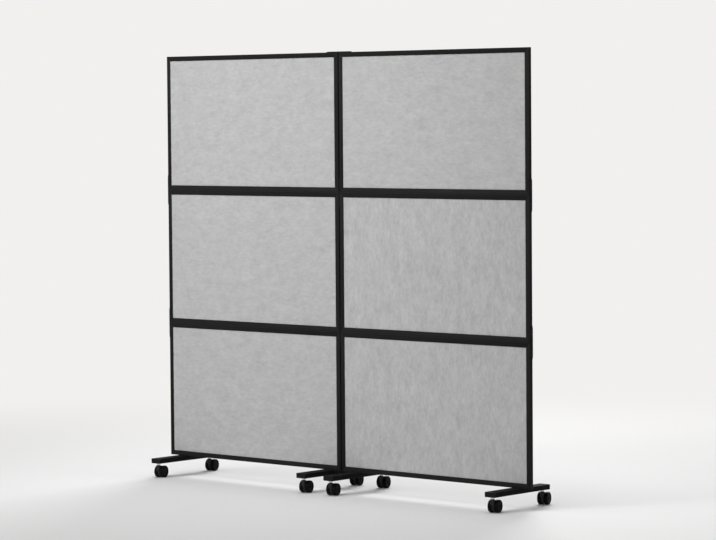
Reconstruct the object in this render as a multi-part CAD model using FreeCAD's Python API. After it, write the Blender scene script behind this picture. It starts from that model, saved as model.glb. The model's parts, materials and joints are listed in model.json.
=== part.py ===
import FreeCAD, Part
import math
import os

# Rolling office partition: two columns of three felt boards in black frames,
# carried by four flat legs on eight twin-wheel swivel casters.
# Millimetres. The origin is on the floor under the middle of the wall,
# X runs along the wall, Y goes through it to the back, Z is up.

# Panels
panel_width = 980.0
panel_height = 566.5
row_names = ("bottom", "middle", "top")

# Frame bars: a hollow box along the outer edge and a groove for the board
bar_face = 20.0
bar_depth = 16.0
bar_wall = 1.6
bar_lip = 1.2
bar_hollow = 8.0
bar_edge_radius = 1.5
mitre_gap = 0.1

# Felt boards and the keys inside the mitred corners
felt_clearance = 0.2
key_arm = 22.0
key_clearance = 0.2

# Splice plates across the joint between two stacked panels
splice_length = 130.0
splice_thickness = 3.0
splice_bevel = 12.0
splice_tip = 1.2
splice_screw_near = 34.0
splice_screw_far = 47.0

# Connector plates that bridge the two columns above and below
top_connector_length = 126.0
bottom_connector_length = 92.0
connector_thickness = 3.0
connector_bevel = 4.0
connector_screw_end = 9.0
connector_screw_spacing = 18.0

# Countersunk screws of the splice and connector plates
screw_radius = 2.0
screw_head_radius = 3.9
screw_head_height = 2.0
screw_length = 9.5
screw_socket = 2.5
screw_socket_depth = 1.2

# Legs
leg_width = 50.0
leg_height = 20.0
leg_length = 340.0
leg_wall = 2.0
leg_corner_radius = 2.0
leg_inset = 71.0
cap_flange = 3.0
cap_plug = 5.0

# Bolts that hold a leg to the bottom bar, and the tapped plate inside the bar
bolt_radius = 3.0
bolt_spacing = 28.0
bolt_head_radius = 5.0
bolt_head_height = 6.0
bolt_socket = 5.0
bolt_socket_depth = 3.0
bolt_reach = 7.0
bolt_access_radius = 6.5
nut_plate_length = 44.0
nut_plate_thickness = 6.0

# Caster stems, set in from the ends of the legs, and their nuts
stem_inset = 17.0
stem_radius = 5.0
stem_collar_radius = 9.0
stem_collar_height = 4.5
stem_neck_radius = 4.0
stem_end_gap = 0.3
stem_tip = 2.0
nut_flats = 16.0
nut_height = 8.0

# Twin-wheel casters
caster_height = 62.0
trail = 22.0
wheel_radius = 25.0
wheel_width = 16.5
wheel_side_gap = 0.5
wheel_outer_round = 4.0
wheel_inner_round = 1.2
wheel_recess_inner = 7.0
wheel_recess_outer = 18.0
wheel_recess_depth = 2.0
wheel_bore_depth = 12.0
web_thickness = 10.0
web_radius = 23.0
boss_radius = 8.0
boss_height = 20.0
boss_gap = 8.0
boss_round = 1.5
socket_depth = 14.0
hood_clearance = 1.0
axle_radius = 3.0
axle_end_gap = 0.5
caster_turn = 14.0
far_corner_caster_turn = 18.0

# Fits
running_clearance = 0.05
fixed_clearance = 0.02

# Worked out from the sizes above
frame_bottom = caster_height + leg_height
column_gap = 2 * splice_thickness
groove_floor = 2 * bar_wall + bar_hollow
groove_width = bar_depth - 2 * bar_lip
hollow_width = bar_depth - 2 * bar_wall
plate_width = bar_depth - 2 * bar_edge_radius
column_starts = {"left": -column_gap / 2 - panel_width, "right": column_gap / 2}
stack_top = frame_bottom + len(row_names) * panel_height
joint_heights = [frame_bottom + row * panel_height for row in range(1, len(row_names))]
stem_offset = leg_length / 2 - stem_inset
boss_top = caster_height - boss_gap
socket_floor = boss_top - socket_depth
wheel_inner_face = web_thickness / 2 + wheel_side_gap
leg_centres = {
    "outer_left": column_starts["left"] + leg_inset,
    "inner_left": column_starts["left"] + panel_width - leg_inset,
    "inner_right": column_starts["right"] + leg_inset,
    "outer_right": column_starts["right"] + panel_width - leg_inset,
}

X = FreeCAD.Vector(1, 0, 0)
Y = FreeCAD.Vector(0, 1, 0)
Z = FreeCAD.Vector(0, 0, 1)


def at(x, y, z):
    return FreeCAD.Vector(x, y, z)


def box(x_span, y_span, z_span):
    """Box between two values on each axis."""
    corner = at(x_span[0], y_span[0], z_span[0])
    sizes = [span[1] - span[0] for span in (x_span, y_span, z_span)]
    return Part.makeBox(*sizes, corner)


def about(middle, size):
    """The two ends of a size set evenly about a middle."""
    return (middle - size / 2, middle + size / 2)


def prism(points, push):
    """Solid swept from a flat outline along a vector."""
    return Part.Face(Part.makePolygon(points + points[:1])).extrude(push)


def hex_prism(flats, height):
    """Hexagonal prism standing on the XY plane, two of its flats facing along Y."""
    corner = flats / math.sqrt(3)
    turns = [math.radians(60 * side) for side in range(6)]
    return prism([at(corner * math.cos(t), corner * math.sin(t), 0) for t in turns], Z * height)


def moved(shape, point):
    copy = shape.copy()
    copy.translate(point)
    return copy


def turned(shape, angle):
    """Copy turned about the vertical through the origin."""
    copy = shape.copy()
    copy.rotate(at(0, 0, 0), Z, angle)
    return copy


def facing(shape, point, normal):
    """Copy whose Z axis points along a normal, set at a point."""
    copy = shape.copy()
    copy.Placement = FreeCAD.Placement(point, FreeCAD.Rotation(Z, normal))
    return copy


def long_edges(shape, direction):
    """Straight edges of a shape that run along a direction."""
    found = []
    for edge in shape.Edges:
        run = edge.Vertexes[-1].Point - edge.Vertexes[0].Point
        if run.Length > 0 and run.cross(direction).Length < 1e-6 * run.Length:
            found.append(edge)
    return found


def drilled(shape, holes):
    """Copy of a shape with every hole that reaches it cut, one after another."""
    for hole in holes:
        if hole.BoundBox.intersect(shape.BoundBox):
            shape = shape.cut(hole)
    return shape


def save(name, shapes):
    """One file per node; a node of several pieces is a compound of separate solids."""
    shape = shapes[0] if len(shapes) == 1 else Part.makeCompound(shapes)
    shape.exportStep("parts/" + name + ".step")


def frame_bar(length):
    """Mitred bar along X with its outer face down and its board groove up."""
    blank = box((0, length), about(0, bar_depth), (0, bar_face))
    outer = [edge for edge in long_edges(blank, X) if edge.Vertexes[0].Z < bar_face / 2]
    blank = blank.makeFillet(bar_edge_radius, outer)
    hollow = box((0, length), about(0, hollow_width), (bar_wall, bar_wall + bar_hollow))
    groove = box((0, length), about(0, groove_width), (groove_floor, bar_face))
    front = -bar_depth / 2
    set_back = mitre_gap / math.sqrt(2)
    mitred = prism(
        [
            at(set_back, front, 0),
            at(length - set_back, front, 0),
            at(length - bar_face - set_back, front, bar_face),
            at(bar_face + set_back, front, bar_face),
        ],
        Y * bar_depth,
    )
    return blank.cut(hollow).cut(groove).common(mitred)


def frame_bars():
    """Bottom, top, left and right bar of one panel, with the panel's lower left corner at the origin."""
    bottom = frame_bar(panel_width)
    top = bottom.copy()
    top.rotate(at(panel_width / 2, 0, panel_height / 2), Y, 180)
    left = frame_bar(panel_height)
    left.rotate(at(0, 0, 0), Y, 90)
    left.translate(Z * panel_height)
    right = left.copy()
    right.rotate(at(panel_width / 2, 0, panel_height / 2), Y, 180)
    return [bottom, top, left, right]


def corner_keys():
    """Four angle keys of one panel, each in the hollows of two bars."""
    near = bar_wall + key_clearance
    far = bar_wall + bar_hollow - key_clearance
    depth = about(0, hollow_width - 2 * key_clearance)
    level_arm = box((near, key_arm), depth, (near, far))
    upright_arm = box((near, far), depth, (near, key_arm))
    key = level_arm.fuse(upright_arm).removeSplitter()
    keys = [key]
    across = key.mirror(at(panel_width / 2, 0, 0), X)
    keys.append(across)
    keys += [lower.mirror(at(0, 0, panel_height / 2), Z) for lower in (key, across)]
    return keys


def felt_board():
    """Board of one panel, held in the grooves of its four bars."""
    edge = groove_floor + felt_clearance
    thickness = groove_width - 2 * felt_clearance
    return box((edge, panel_width - edge), about(0, thickness), (edge, panel_height - edge))


def plate(length, thickness, bevel):
    """Joining plate along X with bevelled ends, its seat at Z 0."""
    front = -plate_width / 2
    half = length / 2
    tip = min(splice_tip, thickness)
    outline = [
        at(-half, front, 0),
        at(half, front, 0),
        at(half, front, tip),
        at(half - bevel, front, thickness),
        at(-half + bevel, front, thickness),
        at(-half, front, tip),
    ]
    return prism(outline, Y * plate_width)


def countersunk(clearance):
    """Countersunk screw pointing down with its head at Z 0, or its hole when given a clearance."""
    shank = screw_radius + clearance
    outline = [
        at(0, 0, 0),
        at(screw_head_radius + clearance, 0, 0),
        at(shank, 0, -screw_head_height),
        at(shank, 0, -screw_length),
        at(0, 0, -screw_length),
    ]
    return Part.Face(Part.makePolygon(outline + outline[:1])).revolve(at(0, 0, 0), Z, 360)


def plate_screw():
    """Countersunk screw with a hexagon socket in its head."""
    socket = moved(hex_prism(screw_socket, screw_socket_depth), Z * -screw_socket_depth)
    return countersunk(0).cut(socket)


def plate_joints():
    """Seat, outward normal, and length, thickness, bevel and screw places of every joining plate."""
    joints = {}
    splice_places = (splice_screw_near, splice_screw_far)
    splice = (splice_length, splice_thickness, splice_bevel, splice_places)
    for column, start in column_starts.items():
        sides = [(start, X * -1), (start + panel_width, X)]
        joints[column + "_splice_plates"] = [
            (at(side, 0, height), normal, splice) for height in joint_heights for side, normal in sides
        ]
    bridges = [
        ("top_connector", stack_top, Z, top_connector_length),
        ("bottom_connector", frame_bottom, Z * -1, bottom_connector_length),
    ]
    for node, height, normal, length in bridges:
        far = length / 2 - connector_screw_end
        places = (far - connector_screw_spacing, far)
        bridge = (length, connector_thickness, connector_bevel, places)
        joints[node] = [(at(0, 0, height), normal, bridge)]
    return joints


def along_plate(normal):
    """Direction that a plate runs in: up the side of a column, or across the columns."""
    return X if abs(normal.z) > abs(normal.x) else Z


def set_plate(seat, normal, length, thickness, bevel):
    """Joining plate set on its seat."""
    run = along_plate(normal)
    copy = plate(length, thickness, bevel)
    copy.Placement = FreeCAD.Placement(seat, FreeCAD.Rotation(run, normal.cross(run), normal, "ZXY"))
    return copy


def leg_tube():
    """Flat rectangular tube along Y with its top on the frame, holed for its bolts and stems."""
    top = frame_bottom
    bottom = caster_height
    half = leg_length / 2 - cap_flange
    blank = box(about(0, leg_width), (-half, half), (bottom, top))
    tube = blank.makeFillet(leg_corner_radius, long_edges(blank, Y))
    inside = box(about(0, leg_width - 2 * leg_wall), (-half, half), (bottom + leg_wall, top - leg_wall))
    tube = tube.cut(inside)
    for side in about(0, bolt_spacing):
        bolt_hole = Part.makeCylinder(bolt_radius + fixed_clearance, leg_wall, at(side, 0, top - leg_wall))
        access_hole = Part.makeCylinder(bolt_access_radius, leg_wall, at(side, 0, bottom))
        tube = tube.cut(bolt_hole).cut(access_hole)
    for end in (-stem_offset, stem_offset):
        stem_hole = Part.makeCylinder(stem_radius + fixed_clearance, leg_wall, at(0, end, bottom))
        tube = tube.cut(stem_hole)
    return tube


def leg_end_cap():
    """Moulded cap for the front end of a leg: a flange outside and a plug inside the tube."""
    outer = -leg_length / 2
    seat = outer + cap_flange
    flange = box(about(0, leg_width), (outer, seat), (caster_height, frame_bottom))
    flange = flange.makeFillet(leg_corner_radius, long_edges(flange, Y))
    room = leg_wall + fixed_clearance
    plug_height = (caster_height + room, frame_bottom - room)
    plug = box(about(0, leg_width - 2 * room), (seat, seat + cap_plug), plug_height)
    return flange.fuse(plug)


def leg_bolt():
    """Socket-head bolt from inside the leg up into the tapped plate of the bottom bar."""
    seat = frame_bottom - leg_wall
    shank = Part.makeCylinder(bolt_radius, leg_wall + bar_wall + bolt_reach, Z * seat)
    head = Part.makeCylinder(bolt_head_radius, bolt_head_height, Z * (seat - bolt_head_height))
    socket = moved(hex_prism(bolt_socket, bolt_socket_depth), Z * (seat - bolt_head_height))
    return head.fuse(shank).cut(socket)


def leg_nut_plate():
    """Tapped plate lying in the hollow of the bottom bar."""
    floor = frame_bottom + bar_wall
    slab = box(
        about(0, nut_plate_length),
        about(0, hollow_width - 2 * key_clearance),
        (floor, floor + nut_plate_thickness),
    )
    thread = bolt_radius + fixed_clearance
    for side in about(0, bolt_spacing):
        slab = slab.cut(Part.makeCylinder(thread, nut_plate_thickness, at(side, 0, floor)))
    return slab


def caster_stem():
    """Threaded steel stem with a collar under the leg and a plain neck that the caster turns on."""
    thread = leg_wall + nut_height + stem_tip
    neck_end = socket_floor + stem_end_gap
    collar_floor = caster_height - stem_collar_height
    stem = Part.makeCylinder(stem_radius, thread, Z * caster_height)
    stem = stem.fuse(Part.makeCylinder(stem_collar_radius, stem_collar_height, Z * collar_floor))
    return stem.fuse(Part.makeCylinder(stem_neck_radius, collar_floor - neck_end, Z * neck_end))


def stem_nut():
    """Hexagon nut on the stem, inside the leg."""
    nut = hex_prism(nut_flats, nut_height).cut(Part.makeCylinder(stem_radius + fixed_clearance, nut_height))
    return moved(nut, Z * (caster_height + leg_wall))


def wheel_axis_cylinder(radius, x_span):
    """Cylinder about the wheel axis between two places along it."""
    return Part.makeCylinder(radius, x_span[1] - x_span[0], at(x_span[0], trail, wheel_radius), X)


def caster_body():
    """Moulded body: a web between the wheels, rising to a boss round the stem."""
    boss = Part.makeCylinder(boss_radius, boss_height, Z * (boss_top - boss_height))
    rim = [edge for edge in boss.Edges if edge.Closed and edge.Vertexes[0].Z > boss_top - boss_height / 2]
    boss = boss.makeFillet(boss_round, rim)
    reach = boss_radius + hood_clearance
    boss = boss.cut(wheel_axis_cylinder(wheel_radius + hood_clearance, (-reach, reach)))
    web_span = about(0, web_thickness)
    web = wheel_axis_cylinder(web_radius, web_span)
    side = web_span[0]
    arm = prism(
        [
            at(side, -boss_radius + boss_round, boss_top - boss_round),
            at(side, boss_radius - boss_round, boss_top - boss_round),
            at(side, trail, wheel_radius + web_radius),
            at(side, trail, wheel_radius),
            at(side, trail - web_radius, wheel_radius),
            at(side, -boss_radius + boss_round, boss_top - boss_height),
        ],
        X * web_thickness,
    )
    socket = Part.makeCylinder(stem_neck_radius + running_clearance, socket_depth, Z * socket_floor)
    axle_hole = wheel_axis_cylinder(axle_radius + fixed_clearance, web_span)
    return web.fuse(arm).fuse(boss).removeSplitter().cut(socket).cut(axle_hole)


def caster_axle():
    """Steel pin through the web, with a wheel on each end."""
    half = wheel_inner_face + wheel_bore_depth - axle_end_gap
    return wheel_axis_cylinder(axle_radius, (-half, half))


def caster_wheel():
    """Right-hand wheel: rounded tread, dished outer face and a blind bore from the inner face."""
    outer_face = wheel_inner_face + wheel_width
    wheel = wheel_axis_cylinder(wheel_radius, (wheel_inner_face, outer_face))
    middle = wheel_inner_face + wheel_width / 2
    rims = [edge for edge in wheel.Edges if edge.Closed]
    wheel = wheel.makeFillet(wheel_outer_round, [edge for edge in rims if edge.Vertexes[0].X > middle])
    rims = [edge for edge in wheel.Edges if edge.Closed and edge.Vertexes[0].X < wheel_inner_face + 1e-6]
    wheel = wheel.makeFillet(wheel_inner_round, rims)
    dish_span = (outer_face - wheel_recess_depth, outer_face)
    hub = wheel_axis_cylinder(wheel_recess_inner, dish_span)
    dish = wheel_axis_cylinder(wheel_recess_outer, dish_span).cut(hub)
    bore_span = (wheel_inner_face, wheel_inner_face + wheel_bore_depth)
    return wheel.cut(dish).cut(wheel_axis_cylinder(axle_radius + running_clearance, bore_span))


os.makedirs("parts", exist_ok=True)

# Joining plates and their screws, and the holes that the screws need in the bars
screw = plate_screw()
screw_hole = countersunk(fixed_clearance)
splice_screws = []
connector_screws = []
screw_holes = []
for node, joints in plate_joints().items():
    plates = []
    for seat, normal, (length, thickness, bevel, places) in joints:
        strip = set_plate(seat, normal, length, thickness, bevel)
        for place in places:
            for sign in (-1, 1):
                head = seat + normal * thickness + along_plate(normal) * (sign * place)
                hole = facing(screw_hole, head, normal)
                strip = strip.cut(hole)
                screw_holes.append(hole)
                group = splice_screws if "splice" in node else connector_screws
                group.append(facing(screw, head, normal))
        plates.append(strip)
    save(node, plates)
save("splice_screws", splice_screws)
save("connector_screws", connector_screws)

# Legs, end caps, bolts and tapped plates
cap = leg_end_cap()
far_cap = cap.mirror(at(0, 0, 0), Y)
bolt = leg_bolt()
nut_plate = leg_nut_plate()
leg_caps = []
leg_bolts = []
leg_nut_plates = []
bolt_holes = []
for leg, centre in leg_centres.items():
    save("leg_" + leg, [moved(leg_tube(), X * centre)])
    leg_caps += [moved(cap, X * centre), moved(far_cap, X * centre)]
    leg_nut_plates.append(moved(nut_plate, X * centre))
    for side in about(centre, bolt_spacing):
        leg_bolts.append(moved(bolt, X * side))
        bolt_hole = Part.makeCylinder(bolt_radius + fixed_clearance, bar_wall, at(side, 0, frame_bottom))
        bolt_holes.append(bolt_hole)
save("leg_end_caps", leg_caps)
save("leg_bolts", leg_bolts)
save("leg_nut_plates", leg_nut_plates)

# Panels: four mitred bars, four corner keys and a felt board each
bars = frame_bars()
keys = corner_keys()
board = felt_board()
all_keys = []
for column, start in column_starts.items():
    for row, row_name in enumerate(row_names):
        corner = at(start, 0, frame_bottom + row * panel_height)
        panel = column + "_" + row_name
        save("frame_" + panel, [drilled(moved(bar, corner), screw_holes + bolt_holes) for bar in bars])
        save("felt_" + panel, [moved(board, corner)])
        all_keys += [drilled(moved(key, corner), screw_holes) for key in keys]
save("corner_keys", all_keys)

# Casters, each turned about its stem as it stands
stem = caster_stem()
nut = stem_nut()
wheel = caster_wheel()
caster_pieces = {
    "body": caster_body(),
    "axle": caster_axle(),
    "wheel_left": wheel.mirror(at(0, 0, 0), X),
    "wheel_right": wheel,
}
stems = []
nuts = []
for leg, centre in leg_centres.items():
    for end, place in (("front", -stem_offset), ("rear", stem_offset)):
        foot = at(centre, place, 0)
        turn = far_corner_caster_turn if (leg, end) == ("outer_right", "rear") else caster_turn
        stems.append(moved(stem, foot))
        nuts.append(moved(nut, foot))
        for piece_name, piece in caster_pieces.items():
            name = "caster_" + leg + "_" + end + "_" + piece_name
            save(name, [moved(turned(piece, turn), foot)])
save("caster_stems", stems)
save("stem_nuts", nuts)

print("frame bottom", frame_bottom, "stack top", stack_top)
print("wall from", column_starts["left"], "to", column_starts["right"] + panel_width)
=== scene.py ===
# %% [markdown]
# # Rolling office partition
# Two columns of three felt boards stand in black frames, on four flat legs with eight twin-wheel casters.
# The solid model is loaded first, as a fixed frame that already has every size and every moving body.
# The boards, the frame bars and the casters are then modelled again with finer shapes, and every part
# gets the finish of its real material.

# %% Load the solid model
import bmesh
import bpy
import json
import math
from mathutils import Matrix, Vector


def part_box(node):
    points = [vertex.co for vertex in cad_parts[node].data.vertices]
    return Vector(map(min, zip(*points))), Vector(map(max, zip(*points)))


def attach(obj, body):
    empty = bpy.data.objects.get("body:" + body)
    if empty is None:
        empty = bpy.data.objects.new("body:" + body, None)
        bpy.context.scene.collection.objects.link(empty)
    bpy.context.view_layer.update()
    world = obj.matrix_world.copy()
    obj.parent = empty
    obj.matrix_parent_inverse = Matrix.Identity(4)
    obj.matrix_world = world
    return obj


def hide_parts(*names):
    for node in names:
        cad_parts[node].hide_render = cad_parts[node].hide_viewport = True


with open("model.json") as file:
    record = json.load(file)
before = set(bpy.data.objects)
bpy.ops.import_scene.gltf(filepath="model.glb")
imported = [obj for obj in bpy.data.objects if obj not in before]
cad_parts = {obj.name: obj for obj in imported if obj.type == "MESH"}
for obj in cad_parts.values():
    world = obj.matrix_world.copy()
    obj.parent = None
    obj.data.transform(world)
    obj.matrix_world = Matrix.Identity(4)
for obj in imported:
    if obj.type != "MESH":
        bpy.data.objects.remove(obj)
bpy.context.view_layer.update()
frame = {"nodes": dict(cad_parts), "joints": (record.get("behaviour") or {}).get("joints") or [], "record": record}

scene = bpy.context.scene
scene.view_settings.view_transform = "Standard"

# %% [markdown]
# ## Camera
# The picture was taken from the front right, about twelve metres away with a long lens, so that the wall's
# level lines hardly converge. A camera could be aimed by hand until its edges agree with the picture. Here
# the eye, its direction and the lens come from a fit to the places of the wall's corners. The camera leans
# by under half a degree, so its axes are worked out and set as a matrix.

# %% Set the camera
mm = 0.001
eye = Vector((8.1416, -9.0012, 1.5243))
heading = -0.7296  # radians, from straight at the wall towards its left end
dip = math.radians(2.946)
lean = math.radians(0.4475)
picture_width = 716
focal_pixels = 2996.3

ahead = Vector((math.sin(heading) * math.cos(dip), math.cos(heading) * math.cos(dip), -math.sin(dip)))
level_right = ahead.cross(Vector((0, 0, 1))).normalized()
level_down = ahead.cross(level_right)
right = math.cos(lean) * level_right + math.sin(lean) * level_down
down = math.cos(lean) * level_down - math.sin(lean) * level_right

lens = bpy.data.cameras.new("camera")
lens.sensor_fit = "HORIZONTAL"
lens.sensor_width = 36.0
lens.lens = lens.sensor_width * focal_pixels / picture_width
camera = bpy.data.objects.new("camera", lens)
scene.collection.objects.link(camera)
turn = Matrix((right, -down, -ahead)).transposed()
camera.matrix_world = Matrix.Translation(eye) @ turn.to_4x4()
scene.camera = camera
print("lens", round(lens.lens, 2), "mm")

# %% [markdown]
# ## Colours, sizes and nodes
# Every finish is a small network of nodes, which could be wired by hand in the shader editor. In a script, a
# few helpers keep it short. One turns a colour written as sRGB hex into the linear values that the shader
# needs, one turns millimetres into the size of a pattern, and one adds a node with its settings and links.

# %% Colours and sizes
def linear(hex_colour):
    """sRGB hex to linear red, green, blue and alpha."""
    parts = [int(hex_colour[i:i + 2], 16) / 255 for i in (1, 3, 5)]
    return tuple(p / 12.92 if p <= 0.04045 else ((p + 0.055) / 1.055) ** 2.4 for p in parts) + (1.0,)


def pattern(*sizes):
    """Size of a pattern along X, Y and Z, from millimetres, for a mapping of the texture kind."""
    return tuple(size * mm for size in sizes)


print("middle grey in linear light", round(linear("#808080")[0], 3))

# %% Nodes and materials
# the Mix node's sockets have numbers: its share, then two numbers or two colours, and what comes out
share = 0
number_a = 2
number_b = 3
colour_a = 6
colour_b = 7
mixed_number = 0
mixed_colour = 2
noise_low = 0.3   # most values of a noise lie between these two
noise_high = 0.7


def add_node(tree, kind, settings=None, inputs=None):
    """Adds a node, sets its options and sockets, and links each socket given another node's output."""
    node = tree.nodes.new(kind)
    for option, value in (settings or {}).items():
        setattr(node, option, value)
    for socket, value in (inputs or {}).items():
        if isinstance(value, bpy.types.NodeSocket):
            tree.links.new(value, node.inputs[socket])
        else:
            node.inputs[socket].default_value = value
    return node


def new_finish(name, **sockets):
    """Material with constant shader sockets; returns it, its nodes, its shader and the coordinates."""
    finish = bpy.data.materials.new(name)
    finish.use_nodes = True
    shader = finish.node_tree.nodes["Principled BSDF"]
    for socket, value in sockets.items():
        shader.inputs[socket.replace("_", " ")].default_value = value
    place = add_node(finish.node_tree, "ShaderNodeTexCoord").outputs
    return finish, finish.node_tree, shader, place


print("materials before the first finish", len(bpy.data.materials))

# %% [markdown]
# ## Floor and background
# The wall stands on a plain pale floor that keeps its shadow. A curved backdrop could hide the horizon, but
# it would show in views from behind. Instead the floor turns into the colour of the background with distance.
# Only rays that see it, from the camera or by way of gloss, meet that colour, so it casts no light.

# %% Floor
pale = "#f1f0ee"
floor_grey = "#dadada"
floor_size = 60.0
fade_start = 1.3
fade_end = 4.6


def rays_that_see(tree):
    """One for camera rays and for mirrored or transmitted ones, zero for those that only carry light."""
    rays = add_node(tree, "ShaderNodeLightPath").outputs
    direct = add_node(tree, "ShaderNodeMath", {"operation": "MAXIMUM"},
                      {0: rays["Is Camera Ray"], 1: rays["Is Glossy Ray"]})
    return add_node(tree, "ShaderNodeMath", {"operation": "MAXIMUM"},
                    {0: direct.outputs["Value"], 1: rays["Is Transmission Ray"]}).outputs["Value"]


bpy.ops.object.select_all(action="DESELECT")
bpy.ops.mesh.primitive_plane_add(size=floor_size)
floor = bpy.context.object
floor.name = "floor"

floor_finish, tree, shader, place = new_finish("pale_floor", Roughness=0.75, Base_Color=linear(floor_grey))
distance = add_node(tree, "ShaderNodeVectorMath", {"operation": "LENGTH"}, {0: place["Object"]})
fade = add_node(tree, "ShaderNodeMapRange", {"interpolation_type": "SMOOTHSTEP"},
                {"Value": distance.outputs["Value"], "From Min": fade_start, "From Max": fade_end})
shown = add_node(tree, "ShaderNodeMath", {"operation": "MULTIPLY"},
                 {0: fade.outputs["Result"], 1: rays_that_see(tree)})
haze = add_node(tree, "ShaderNodeEmission", inputs={"Color": linear(pale), "Strength": 1.0})
blend = add_node(tree, "ShaderNodeMixShader", inputs={
    share: shown.outputs["Value"], 1: shader.outputs["BSDF"], 2: haze.outputs["Emission"]})
tree.links.new(blend.outputs["Shader"], tree.nodes["Material Output"].inputs["Surface"])
floor.data.materials.append(floor_finish)
print("floor", floor_size, "m, fades from", fade_start, "to", fade_end, "m")

# %% Background
surround_grey = "#989898"

world = bpy.data.worlds.new("studio")
world.use_nodes = True
scene.world = world
tree = world.node_tree
surround = add_node(tree, "ShaderNodeMix", {"data_type": "RGBA"},
                    {share: rays_that_see(tree), colour_a: linear(surround_grey), colour_b: linear(pale)})
tree.links.new(surround.outputs[mixed_colour], tree.nodes["Background"].inputs["Color"])
print("background", pale, "with a light of", surround_grey)

# %% [markdown]
# ## Light
# Soft light falls on the wall from the upper left and leaves its lower right corner a little darker. A sun
# lamp would give hard shadows, so the light comes from large panels: one in front on the left, one overhead
# that grounds the casters, and one behind. The front panel has a grid, a spread below half a turn, which
# keeps its light on the upper part of the wall.

# %% Lamps
def panel_lamp(name, place, target, size, watts, spread):
    """Square area lamp that looks at a point; sizes are in metres and the spread in degrees."""
    lamp = bpy.data.lights.new(name, "AREA")
    lamp.size = size
    lamp.energy = watts
    lamp.spread = math.radians(spread)
    holder = bpy.data.objects.new(name, lamp)
    holder.visible_camera = False
    scene.collection.objects.link(holder)
    aim = Vector(target) - Vector(place)
    holder.matrix_world = Matrix.Translation(place) @ aim.to_track_quat("-Z", "Y").to_matrix().to_4x4()


panel_lamp("front_panel", place=(-2.2, -5.1, 2.9), target=(-0.35, 0.0, 1.9), size=2.4, watts=31.6, spread=66)
panel_lamp("ceiling_panel", place=(0.2, -0.6, 5.5), target=(0.2, -0.4, 0.0), size=3.0, watts=70, spread=120)
panel_lamp("back_panel", place=(-2.5, 5.0, 4.4), target=(0.0, 0.0, 1.0), size=3.0, watts=260, spread=180)

# %% [markdown]
# ## Grey felt
# The boards are pressed polyester felt: short grey fibres of slightly different tones, laid flat and bonded
# by heat. The eye sees a matt, slightly fuzzy grey with soft clouds, drawn out along the direction in which
# the felt was laid. Hair strands would be far too many for a wall, so noise stands for the fibres: one layer
# for the clouds, one for the streaks and three crossed ones for the fibres. Real fibres are too fine to
# show, so they are drawn about a millimetre wide, and even these show only close up.

# %% Felt finish
fibre_size = (1.1, 1.1, 12)
fibre_turns = (20, 80, 140)
fibre_bend = 1.6
fibre_detail = 1.5
cloud_detail = 4.0
streak_detail = 2.0
felt_coarseness = 0.72
streak_share = 0.45
third_fibre_share = 0.33
fibre_share = 0.3
fibre_low = 0.36   # crossed fibres average out, so their values lie closer together
fibre_high = 0.64
fuzz_height = 0.8 * mm


def grey_felt(name, cloud, streak, dark, light):
    """Felt of two tones; its clouds and streaks have the given sizes in millimetres along X, Y and Z."""
    finish, tree, shader, place = new_finish(name, Roughness=0.95, Sheen_Weight=0.12, Sheen_Roughness=0.6)
    layers = [(cloud, 0, cloud_detail, 0.0), (streak, 0, streak_detail, 0.0)]
    layers += [(fibre_size, turn, fibre_detail, fibre_bend) for turn in fibre_turns]
    tones = []
    for sizes, turn, detail, bend in layers:
        laid = add_node(tree, "ShaderNodeMapping", {"vector_type": "TEXTURE"}, {
            "Vector": place["Object"], "Rotation": (0, math.radians(turn), 0), "Scale": pattern(*sizes)})
        noise = add_node(tree, "ShaderNodeTexNoise", inputs={
            "Vector": laid.outputs["Vector"], "Scale": 1.0, "Detail": detail,
            "Roughness": felt_coarseness, "Distortion": bend})
        tones.append(noise.outputs["Fac"])
    clouds, streaks, first, second, third = tones
    drawn = add_node(tree, "ShaderNodeMix", inputs={share: streak_share, number_a: clouds, number_b: streaks})
    pair = add_node(tree, "ShaderNodeMix", inputs={share: 0.5, number_a: first, number_b: second})
    fibres = add_node(tree, "ShaderNodeMix", inputs={
        share: third_fibre_share, number_a: pair.outputs[mixed_number], number_b: third})
    strands = add_node(tree, "ShaderNodeMapRange", inputs={
        "Value": fibres.outputs[mixed_number],
        "From Min": fibre_low, "From Max": fibre_high, "To Min": 0.1, "To Max": 0.9})
    mottle = add_node(tree, "ShaderNodeMix", inputs={
        share: fibre_share, number_a: drawn.outputs[mixed_number], number_b: strands.outputs["Result"]})
    contrast = add_node(tree, "ShaderNodeMapRange", inputs={
        "Value": mottle.outputs[mixed_number], "From Min": noise_low, "From Max": noise_high})
    tone = add_node(tree, "ShaderNodeMix", {"data_type": "RGBA"}, {
        share: contrast.outputs["Result"], colour_a: linear(dark), colour_b: linear(light)})
    tree.links.new(tone.outputs[mixed_colour], shader.inputs["Base Color"])
    fuzz = add_node(tree, "ShaderNodeBump", inputs={
        "Strength": 0.8, "Distance": fuzz_height, "Height": fibres.outputs[mixed_number]})
    tree.links.new(fuzz.outputs["Normal"], shader.inputs["Normal"])
    return finish


felt_across = grey_felt(
    "grey_felt_laid_across", cloud=(70, 70, 42), streak=(26, 26, 10), dark="#a2a2a2", light="#c6c6c6")
felt_upright = grey_felt(
    "grey_felt_laid_upright", cloud=(40, 40, 80), streak=(9, 9, 26), dark="#9b9b9b", light="#cacaca")
print("finishes", felt_across.name, felt_upright.name)

# %% [markdown]
# ## Black finishes
# The bars and legs have a satin black powder coat: paint powder that melted into a film with a fine
# orange-peel skin. Their edges are painted a little paler: partly wear where handling has rubbed them, partly
# a painted highlight. The casters and caps are moulded nylon, which has a finer skin and the same paler
# edges. These could be painted by hand on each mesh. A normal that lies between the main directions marks
# an edge just as well, and then one finish serves every piece.

# %% Powder coat and nylon
gloss_swing = 0.07
edge_normal = 0.72   # largest part of the normal in the middle of a rounded edge
flat_normal = 0.985  # and where the edge has run out into a flat face


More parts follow.
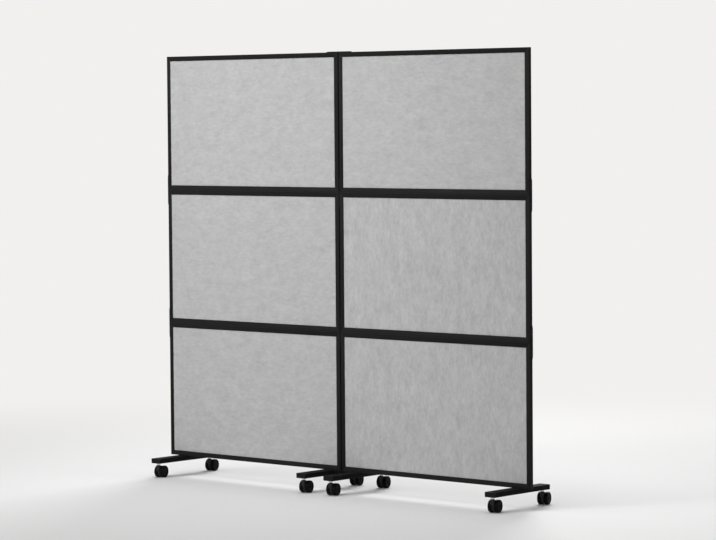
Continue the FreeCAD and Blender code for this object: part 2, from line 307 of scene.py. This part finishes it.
def black_finish(name, body, edge, sheen, roughness, cloud, grain, depth):
    """Black finish with uneven gloss, a fine skin and edges painted paler, partly as wear and partly as a painted
    highlight; the last three are in millimetres.
    """
    finish, tree, shader, place = new_finish(name, IOR=1.48, Specular_IOR_Level=sheen)
    noises = []
    for size, detail in ((cloud, 4.0), (grain, 1.0)):
        laid = add_node(tree, "ShaderNodeMapping", {"vector_type": "TEXTURE"}, {
            "Vector": place["Object"], "Scale": pattern(size, size, size)})
        noise = add_node(tree, "ShaderNodeTexNoise", inputs={
            "Vector": laid.outputs["Vector"], "Scale": 1.0, "Detail": detail})
        noises.append(noise.outputs["Fac"])
    smudge, skin = noises
    sides = add_node(tree, "ShaderNodeVectorMath", {"operation": "ABSOLUTE"}, {0: place["Normal"]})
    axes = add_node(tree, "ShaderNodeSeparateXYZ", inputs={0: sides.outputs["Vector"]}).outputs
    wider = add_node(tree, "ShaderNodeMath", {"operation": "MAXIMUM"}, {0: axes["X"], 1: axes["Y"]})
    widest = add_node(tree, "ShaderNodeMath", {"operation": "MAXIMUM"},
                      {0: wider.outputs["Value"], 1: axes["Z"]})
    # rounded edges are painted paler: partly wear, partly a painted highlight
    edge_mask = add_node(tree, "ShaderNodeMapRange", inputs={
        "Value": widest.outputs["Value"],
        "From Min": edge_normal, "From Max": flat_normal, "To Min": 1.0, "To Max": 0.0})
    worn_and_highlit_edge = add_node(tree, "ShaderNodeMath", {"operation": "MULTIPLY"},
                    {0: edge_mask.outputs["Result"], 1: smudge})
    tone = add_node(tree, "ShaderNodeMix", {"data_type": "RGBA"}, {
        share: worn_and_highlit_edge.outputs["Value"], colour_a: linear(body), colour_b: linear(edge)})
    tree.links.new(tone.outputs[mixed_colour], shader.inputs["Base Color"])
    gloss = add_node(tree, "ShaderNodeMapRange", inputs={
        "Value": smudge, "From Min": noise_low, "From Max": noise_high,
        "To Min": roughness - gloss_swing, "To Max": roughness + gloss_swing})
    tree.links.new(gloss.outputs["Result"], shader.inputs["Roughness"])
    bump = add_node(tree, "ShaderNodeBump", inputs={
        "Strength": 0.35, "Distance": depth * mm, "Height": skin})
    tree.links.new(bump.outputs["Normal"], shader.inputs["Normal"])
    return finish


# each edge colour stands both for wear and for a painted highlight on the rounded edges
coated_aluminium = black_finish("powder_coated_aluminium", body="#1c1c1c", edge="#3c3c3c", sheen=0.05,
                                roughness=0.5, cloud=70, grain=1.6, depth=0.12)
coated_steel = black_finish("powder_coated_steel", body="#0b0b0b", edge="#2c2c2c", sheen=0.1,
                            roughness=0.74, cloud=50, grain=1.6, depth=0.12)
black_nylon = black_finish("moulded_black_nylon", body="#0a0a0a", edge="#202020", sheen=0.12,
                           roughness=0.45, cloud=18, grain=0.9, depth=0.06)
charcoal_nylon = black_finish("moulded_charcoal_nylon", body="#1a1a1b", edge="#39393b", sheen=0.2,
                              roughness=0.42, cloud=18, grain=0.9, depth=0.06)
wheel_nylon = black_finish("nylon_wheel_tread", body="#090909", edge="#1c1c1c", sheen=0.05,
                           roughness=0.48, cloud=9, grain=0.9, depth=0.08)
print("finishes", coated_aluminium.name, coated_steel.name)
print("finishes", black_nylon.name, charcoal_nylon.name, wheel_nylon.name)

# %% [markdown]
# ## Bare and plated metal
# The stems, nuts, bolts and axles are zinc plated steel: bright, slightly blue and faintly cloudy. The corner
# keys are plain die-cast aluminium with a dull grain, and the small screws are blackened steel. A plain
# metal shader looks like chrome, so a cloud pattern varies the tone and the gloss together, as plating does.

# %% Metal finishes
plating_swing = 0.1


def metal_finish(name, dull, bright, roughness, cloud, depth):
    """Metal with clouds of two tones and uneven gloss; cloud and depth are in millimetres."""
    finish, tree, shader, place = new_finish(name, Metallic=1.0)
    laid = add_node(tree, "ShaderNodeMapping", {"vector_type": "TEXTURE"}, {
        "Vector": place["Object"], "Scale": pattern(cloud, cloud, cloud)})
    haze = add_node(tree, "ShaderNodeTexNoise", inputs={
        "Vector": laid.outputs["Vector"], "Scale": 1.0, "Detail": 5.0})
    tone = add_node(tree, "ShaderNodeMix", {"data_type": "RGBA"}, {
        share: haze.outputs["Fac"], colour_a: linear(dull), colour_b: linear(bright)})
    tree.links.new(tone.outputs[mixed_colour], shader.inputs["Base Color"])
    gloss = add_node(tree, "ShaderNodeMapRange", inputs={
        "Value": haze.outputs["Fac"],
        "To Min": roughness + plating_swing, "To Max": roughness - plating_swing})
    tree.links.new(gloss.outputs["Result"], shader.inputs["Roughness"])
    bump = add_node(tree, "ShaderNodeBump", inputs={
        "Strength": 0.3, "Distance": depth * mm, "Height": haze.outputs["Fac"]})
    tree.links.new(bump.outputs["Normal"], shader.inputs["Normal"])
    return finish


zinc = metal_finish(
    "zinc_plated_steel", dull="#a9adb2", bright="#d5d8dc", roughness=0.3, cloud=4, depth=0.02)
cast_aluminium = metal_finish(
    "die_cast_aluminium", dull="#8d8f91", bright="#b4b6b8", roughness=0.55, cloud=3, depth=0.08)
black_steel = metal_finish(
    "blackened_steel", dull="#1c1c1e", bright="#37383b", roughness=0.42, cloud=2, depth=0.02)
print("finishes", zinc.name, cast_aluminium.name, black_steel.name)

# %% [markdown]
# ## Dressing the solid model
# The legs, caps, plates, screws, stems and other small parts already have their right shape in the solid
# model. They could be modelled again, but that would add nothing, so they only get their finish. The record
# names a material for each part, and a table leads from that name to the finish.

# %% Finishes for the solid model's own parts
slot_finish = {
    "powder_coated_aluminium": coated_aluminium,
    "grey_felt": felt_across,
    "powder_coated_steel": coated_steel,
    "blackened_steel": black_steel,
    "cast_aluminium": cast_aluminium,
    "zinc_plated_steel": zinc,
    "black_nylon": black_nylon,
    "black_nylon_tread": wheel_nylon,
}
for part in frame["record"]["subparts"]:
    solid = frame["nodes"][part["node"]]
    solid.data.materials.clear()
    solid.data.materials.append(slot_finish[part["material_slot"]])
print("dressed", len(frame["nodes"]), "solids")

# %% [markdown]
# ## Modelling helpers
# A piece starts as a primitive that is added at its real size and place, and is then shaped in edit mode.
# Meshes could also be written as lists of points, but the operators do what a modeller does by hand. Faces
# and edges are picked by a test on their place or direction, as the mouse would pick them.

# %% Starting shapes
def settle(name):
    """Names the new primitive and moves its place, turn and size into its mesh."""
    piece = bpy.context.object
    piece.name = name
    bpy.ops.object.transform_apply(location=True, rotation=True, scale=True)
    return piece


def start_box(name, low, high):
    """Box between two corners, in metres."""
    bpy.ops.object.select_all(action="DESELECT")
    low = Vector(low)
    high = Vector(high)
    bpy.ops.mesh.primitive_cube_add(size=1.0, location=(low + high) / 2, scale=high - low)
    return settle(name)


def start_round(name, radius, span, centre, turn, sides):
    """Cylinder round a line: span is its start and end along the line, in metres."""
    bpy.ops.object.select_all(action="DESELECT")
    axis = Matrix.Rotation(turn, 3, "Y") @ Vector((0, 0, 1))
    place = Vector(centre) + axis * (span[0] + span[1]) / 2
    bpy.ops.mesh.primitive_cylinder_add(
        vertices=sides, radius=radius, depth=span[1] - span[0], location=place, rotation=(0, turn, 0))
    return settle(name)


# %% Picking and cutting
hair = 0.01 * mm  # how near a point has to be to count as on a face
bisect_reach = 0.001 * mm
facing = 0.9      # a face looks along an axis if its normal has at least this much of it
square_on = 0.99  # and looks straight along it from here on


def pick(piece, kind, test):
    """In edit mode, selects only the faces or edges that pass a test."""
    bpy.ops.mesh.select_mode(type=kind)
    bpy.ops.mesh.select_all(action="DESELECT")
    shape = bmesh.from_edit_mesh(piece.data)
    shape.normal_update()
    for element in shape.faces if kind == "FACE" else shape.edges:
        if test(element):
            element.select_set(True)
    bmesh.update_edit_mesh(piece.data)


def ends_pass(edge, test):
    """Whether both ends of an edge pass a test on their place."""
    return all(test(vertex.co) for vertex in edge.verts)


def cut(point, normal, **cleared):
    """In edit mode, cuts the piece by a plane; where a side is cleared, a face closes the cut."""
    bpy.ops.mesh.select_all(action="SELECT")
    bpy.ops.mesh.bisect(plane_co=point, plane_no=Vector(normal).normalized(), threshold=bisect_reach,
                        use_fill=bool(cleared), **cleared)


print("points within", hair, "m of a face count as on it")

# %% Finishing and copying
def apply_modifier(piece, kind, **settings):
    """Adds a modifier and applies it at once."""
    modifier = piece.modifiers.new(kind.lower(), kind)
    for option, value in settings.items():
        setattr(modifier, option, value)
    bpy.context.view_layer.objects.active = piece
    bpy.ops.object.modifier_apply(modifier=modifier.name)


def smooth(piece, degrees):
    """Rounded faces shade smoothly; edges sharper than the angle stay crisp."""
    bpy.ops.object.select_all(action="DESELECT")
    piece.select_set(True)
    bpy.context.view_layer.objects.active = piece
    bpy.ops.object.shade_smooth_by_angle(angle=math.radians(degrees))


def copy_to(piece, name, place):
    """Copy with its own mesh, moved by a matrix."""
    copy = bpy.data.objects.new(name, piece.data.copy())
    scene.collection.objects.link(copy)
    copy.data.transform(place)
    return copy


def join(pieces, name):
    """Joins pieces into one object."""
    bpy.ops.object.select_all(action="DESELECT")
    for piece in pieces:
        piece.select_set(True)
    bpy.context.view_layer.objects.active = pieces[0]
    bpy.ops.object.join()
    pieces[0].name = name
    return pieces[0]


def place_on(piece, body, finish, slot, *nodes):
    """Gives a finished piece its material, its body and the solids that it stands for."""
    piece.data.materials.clear()
    piece.data.materials.append(finish)
    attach(piece, body)
    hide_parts(*nodes)


# %% [markdown]
# ## Felt boards
# Each board sits in the grooves of its frame. The lips press its rim, so the face swells a little between
# them and is never quite flat. A plain box would look like card, and a cloth simulation would be too soft
# for a stiff board. So the face is inset at the lip line, raised by a fraction of a millimetre with a soft
# roll, and then waved by a cloud pattern much wider than the felt's own texture.

# %% Felt boards
lip_reach = 8.6 * mm
roll_width = 6.0 * mm
roll_support = 1.5 * mm
crown = 0.7 * mm
wave_height = 0.5 * mm
wave_length = 170 * mm
wave_cuts = 16
slope_part = 0.25    # part of the crown's height above which a face is subdivided
crown_part = 0.98    # and above which a point belongs to the flat of the crown

waves = bpy.data.textures.new("board_waves", "CLOUDS")
waves.noise_scale = wave_length
waves.noise_depth = 1


def felt_board(name, node):
    """Board with a crowned, faintly waved face on each side."""
    low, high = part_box(node)
    board = start_box(name, low, high)
    face = high.y
    bpy.ops.object.mode_set(mode="EDIT")
    for side in (-1, 1):
        pick(board, "FACE", lambda f: f.normal.y * side > facing)
        bpy.ops.mesh.inset(thickness=lip_reach, depth=0)
        bpy.ops.mesh.inset(thickness=roll_width, depth=crown)
        bpy.ops.mesh.inset(thickness=roll_support, depth=0)
    pick(board, "FACE", lambda f: abs(f.calc_center_median().y) > face + crown * slope_part)
    bpy.ops.mesh.subdivide(number_cuts=wave_cuts)
    bpy.ops.object.mode_set(mode="OBJECT")
    on_crown = [v.index for v in board.data.vertices if abs(v.co.y) > face + crown * crown_part]
    raised = board.vertex_groups.new(name="raised")
    raised.add(on_crown, 1.0, "REPLACE")
    apply_modifier(board, "DISPLACE", texture=waves, texture_coords="LOCAL", direction="Y",
                   strength=wave_height, mid_level=0.5, vertex_group="raised")
    smooth(board, degrees=40)
    return board


columns = ("left", "right")
rows = ("bottom", "middle", "top")
laid_upright = {("right", "middle"), ("right", "bottom")}
for column in columns:
    for row in rows:
        node = "felt_" + column + "_" + row
        board = felt_board("board_" + column + "_" + row, node)
        felt = felt_upright if (column, row) in laid_upright else felt_across
        place_on(board, "wall", felt, "grey_felt", node)

# %% [markdown]
# ## Frame bars
# A bar is an aluminium extrusion: rounded outer edges, two thin lips and a groove between them for the board,
# cut at 45 degrees at both ends. A frame could be one mesh with a hole, but then its mitres would not show.
# So one bar of each length is modelled lying down, with its outer face below: its edges are bevelled, its
# inner face is cut along the lips and sunk, and its ends are cut off by two slanted planes. A last fine bevel
# breaks every sharp edge, so that the mitres and lips catch the light.

# %% One bar of each length
bar_face = 20.0 * mm
bar_depth = 16.0 * mm
bar_lip = 1.2 * mm
groove_floor = 11.2 * mm
edge_radius = 1.5 * mm
mitre_set_back = 0.07 * mm  # of each bar's end, which leaves a hairline joint
broken_edge = 0.35 * mm


def mitred_bar(name, length):
    """Bar along X with its outer face down and its groove up."""
    bar = start_box(name, (0, -bar_depth / 2, 0), (length, bar_depth / 2, bar_face))
    lip_line = bar_depth / 2 - bar_lip

    def runs_along(edge):
        return abs(edge.verts[0].co.x - edge.verts[1].co.x) > hair

    bpy.ops.object.mode_set(mode="EDIT")
    pick(bar, "EDGE", lambda e: ends_pass(e, lambda c: c.z < hair) and runs_along(e))
    bpy.ops.mesh.bevel(offset=edge_radius, segments=4, affect="EDGES")
    for line in (-lip_line, lip_line):
        cut((0, line, 0), (0, 1, 0))
    pick(bar, "FACE", lambda f: f.normal.z > facing and abs(f.calc_center_median().y) < lip_line)
    bpy.ops.mesh.extrude_region_move(TRANSFORM_OT_translate={"value": (0, 0, groove_floor - bar_face)})
    for end, inward in ((mitre_set_back, 1), (length - mitre_set_back, -1)):
        cut((end, 0, 0), (inward, 0, -1), clear_inner=True)
    bpy.ops.object.mode_set(mode="OBJECT")
    apply_modifier(bar, "BEVEL", width=broken_edge, segments=2,
                   limit_method="ANGLE", angle_limit=math.radians(40))
    smooth(bar, degrees=35)
    return bar


panel_low, panel_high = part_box("frame_left_bottom")
panel_width = panel_high.x - panel_low.x
panel_height = panel_high.z - panel_low.z
long_bar = mitred_bar("long_bar", panel_width)
short_bar = mitred_bar("short_bar", panel_height)
print("bars", round(panel_width, 4), round(panel_height, 4), "faces", len(long_bar.data.polygons))

# %% [markdown]
# ## Six frames
# Four bars make a frame: two long ones and two short ones, with their grooves inwards. A mirror would turn
# a copy inside out, so each copy is turned about the wall's depth and moved to its corner instead.

# %% Six frames of four bars
half_turn = Matrix.Rotation(math.pi, 4, "Y")
quarter_turn = Matrix.Rotation(math.pi / 2, 4, "Y")
for column in columns:
    for row in rows:
        node = "frame_" + column + "_" + row
        low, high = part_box(node)
        low_left = Matrix.Translation((low.x, 0, low.z))
        high_left = Matrix.Translation((low.x, 0, high.z))
        low_right = Matrix.Translation((high.x, 0, low.z))
        high_right = Matrix.Translation((high.x, 0, high.z))
        bars = [
            copy_to(long_bar, "bar", low_left),
            copy_to(long_bar, "bar", high_right @ half_turn),
            copy_to(short_bar, "bar", high_left @ quarter_turn),
            copy_to(short_bar, "bar", low_right @ half_turn @ quarter_turn),
        ]
        bars = join(bars, "bars_" + column + "_" + row)
        place_on(bars, "wall", coated_aluminium, "powder_coated_aluminium", node)
for template in (long_bar, short_bar):
    bpy.data.objects.remove(template)

# %% [markdown]
# ## Caster wheels
# A wheel is a moulded disc: a rounded tread, a dished outer face with a raised hub, and a blind bore for the
# axle. Its outline could be drawn once and spun, but a spun mesh has to be merged at its seam. So a cylinder
# is bevelled at both rims, and its outer face is inset and pushed in and out ring by ring, as a lathe would
# turn it. One wheel is modelled for the right side, and half a turn about the vertical makes the left one.

# %% One wheel
wheel_radius = 25.0 * mm
wheel_width = 16.5 * mm
wheel_inner_face = 5.5 * mm
wheel_outer_face = wheel_inner_face + wheel_width
trail = 22.0 * mm
outer_round = 4.0 * mm
inner_round = 1.2 * mm
bore_radius = 3.2 * mm
bore_depth = 12.0 * mm
# rings of the outer face, from the rim inwards: width and step out of the face, in millimetres
face_rings = ((2.4, 0), (0.7, -1.0), (0.5, -0.9), (9.2, 0.2), (0.5, 0.9), (0.7, 0.9), (3.0, 0.2), (0.6, -0.6))
across = math.pi / 2  # turns an upright cylinder to lie along X
axle_place = (0, trail, wheel_radius)

wheel = start_round("wheel", wheel_radius, (wheel_inner_face, wheel_outer_face), axle_place, across, sides=64)
bpy.ops.object.mode_set(mode="EDIT")
pick(wheel, "EDGE", lambda e: ends_pass(e, lambda c: c.x > wheel_outer_face - hair))
bpy.ops.mesh.bevel(offset=outer_round, segments=6, affect="EDGES")
pick(wheel, "EDGE", lambda e: ends_pass(e, lambda c: c.x < wheel_inner_face + hair))
bpy.ops.mesh.bevel(offset=inner_round, segments=3, affect="EDGES")
pick(wheel, "FACE",
     lambda f: f.normal.x > square_on and f.calc_center_median().x > wheel_outer_face - hair)
for width, step in face_rings:
    bpy.ops.mesh.inset(thickness=width * mm, depth=step * mm)
pick(wheel, "FACE",
     lambda f: f.normal.x < -square_on and f.calc_center_median().x < wheel_inner_face + hair)
bpy.ops.mesh.inset(thickness=wheel_radius - inner_round - bore_radius, depth=0)
bpy.ops.mesh.extrude_region_move(TRANSFORM_OT_translate={"value": (bore_depth, 0, 0)})
bpy.ops.object.mode_set(mode="OBJECT")
smooth(wheel, degrees=38)
print("wheel faces", len(wheel.data.polygons))

# %% [markdown]
# ## Caster bodies
# The body is one nylon moulding: a round web between the wheels, a short arm, and a boss that turns on the
# stem. It could be pulled out of one block, but its three simple forms are easier to model apart, each with
# the small radius that a mould leaves on its edges. Boolean unions then join them. Rounding them before the
# union keeps the bevels away from the thin slivers where forms meet. The boss is cut round for the wheels
# first, and the socket for the stem and the hole for the axle are drilled last.

# %% Web between the wheels
web_half = 5.0 * mm
web_radius = 23.0 * mm
mould_round = 0.8 * mm

web = start_round("web", web_radius, (-web_half, web_half), axle_place, across, sides=72)
bpy.ops.object.mode_set(mode="EDIT")
for side in (-1, 1):
    pick(web, "EDGE", lambda e: ends_pass(e, lambda c: c.x * side > web_half - hair))
    bpy.ops.mesh.bevel(offset=mould_round, segments=3, affect="EDGES")
bpy.ops.object.mode_set(mode="OBJECT")
print("web faces", len(web.data.polygons))

# %% Arm from the boss to the web
arm_half = 4.7 * mm
boss_radius = 8.0 * mm
boss_floor = 34.0 * mm
boss_top = 54.0 * mm
boss_round = 1.5 * mm

foot = boss_radius - boss_round
shoulder = boss_top - boss_round
arm = start_box("arm", (-arm_half, -foot, wheel_radius), (arm_half, trail, shoulder))
# a point and a normal of each slope that cuts off a free corner
slopes = (
    ((0, foot, shoulder), (0, shoulder - wheel_radius - web_radius, trail - foot)),
    ((0, -foot, boss_floor), (0, wheel_radius - boss_floor, web_radius - trail - foot)),
)
bpy.ops.object.mode_set(mode="EDIT")
for point, normal in slopes:
    cut(point, normal, clear_outer=True)
for side in (-1, 1):
    pick(arm, "EDGE", lambda e: ends_pass(e, lambda c: c.x * side > arm_half - hair))
    bpy.ops.mesh.bevel(offset=mould_round, segments=3, affect="EDGES")
bpy.ops.object.mode_set(mode="OBJECT")
print("arm faces", len(arm.data.polygons))

# %% Boss with room for the wheels
wheel_room = 1.0 * mm


def combine(piece, other, operation):
    """Boolean of two pieces; the second one is used up."""
    apply_modifier(piece, "BOOLEAN", object=other, operation=operation, solver="EXACT")
    bpy.data.objects.remove(other)


boss = start_round("boss", boss_radius, (boss_floor, boss_top), (0, 0, 0), 0, sides=48)
bpy.ops.object.mode_set(mode="EDIT")
pick(boss, "EDGE", lambda e: ends_pass(e, lambda c: c.z > boss_top - hair))
bpy.ops.mesh.bevel(offset=boss_round, segments=4, affect="EDGES")
bpy.ops.object.mode_set(mode="OBJECT")
reach = 2 * boss_radius
room = start_round("room", wheel_radius + wheel_room, (-reach, reach), axle_place, across, sides=96)
combine(boss, room, "DIFFERENCE")
print("boss faces", len(boss.data.polygons))

# %% One body
socket_radius = 4.1 * mm
socket_floor = 40.0 * mm
axle_hole_radius = 3.05 * mm
sliver = 0.02 * mm

body = web
body.name = "body"
combine(body, arm, "UNION")
combine(body, boss, "UNION")
socket = start_round("socket", socket_radius, (socket_floor, 2 * boss_top), (0, 0, 0), 0, sides=32)
combine(body, socket, "DIFFERENCE")
axle_span = (-2 * web_half, 2 * web_half)
axle_hole = start_round("axle_hole", axle_hole_radius, axle_span, axle_place, across, sides=32)
combine(body, axle_hole, "DIFFERENCE")
bpy.context.view_layer.objects.active = body
bpy.ops.object.mode_set(mode="EDIT")
bpy.ops.mesh.select_all(action="SELECT")
bpy.ops.mesh.remove_doubles(threshold=sliver)
bpy.ops.mesh.dissolve_degenerate(threshold=sliver)
bpy.ops.object.mode_set(mode="OBJECT")
smooth(body, degrees=40)
print("body faces", len(body.data.polygons))

# %% [markdown]
# ## Eight casters
# Each caster stands under the end of a leg and was left pointing its own way. Its place and direction could
# be typed in again, but the joints of the solid model already have both: the swivel gives the place, and the
# axle of the right wheel gives the turn. Every copy then rides on its own body, so it can swivel and roll.

# %% Eight casters on their bodies
swivels = {j["child"]: j for j in frame["joints"] if j["name"].endswith("_swivel")}
rolls = {j["child"]: j for j in frame["joints"] if j["name"].endswith("_roll")}
to_axle = Matrix.Translation(axle_place)
other_side = to_axle @ Matrix.Rotation(math.pi, 4, "Z") @ to_axle.inverted()
for caster, swivel in swivels.items():
    axis = rolls[caster + "_wheel_right"]["axis"]
    under_leg = Matrix.Translation((swivel["pos_m"][0], swivel["pos_m"][1], 0))
    stand = under_leg @ Matrix.Rotation(math.atan2(axis[1], axis[0]), 4, "Z")
    short = caster.replace("caster_", "")
    holder = copy_to(body, "holder_" + short, stand)
    place_on(holder, caster, charcoal_nylon, "black_nylon", caster + "_body")
    for side, place in (("left", stand @ other_side), ("right", stand)):
        tread = copy_to(wheel, "tread_" + short + "_" + side, place)
        wheel_body = caster + "_wheel_" + side
        place_on(tread, wheel_body, wheel_nylon, "black_nylon_tread", wheel_body)
for template in (wheel, body):
    bpy.data.objects.remove(template)
print("casters", len(swivels), "wheels", len(rolls))
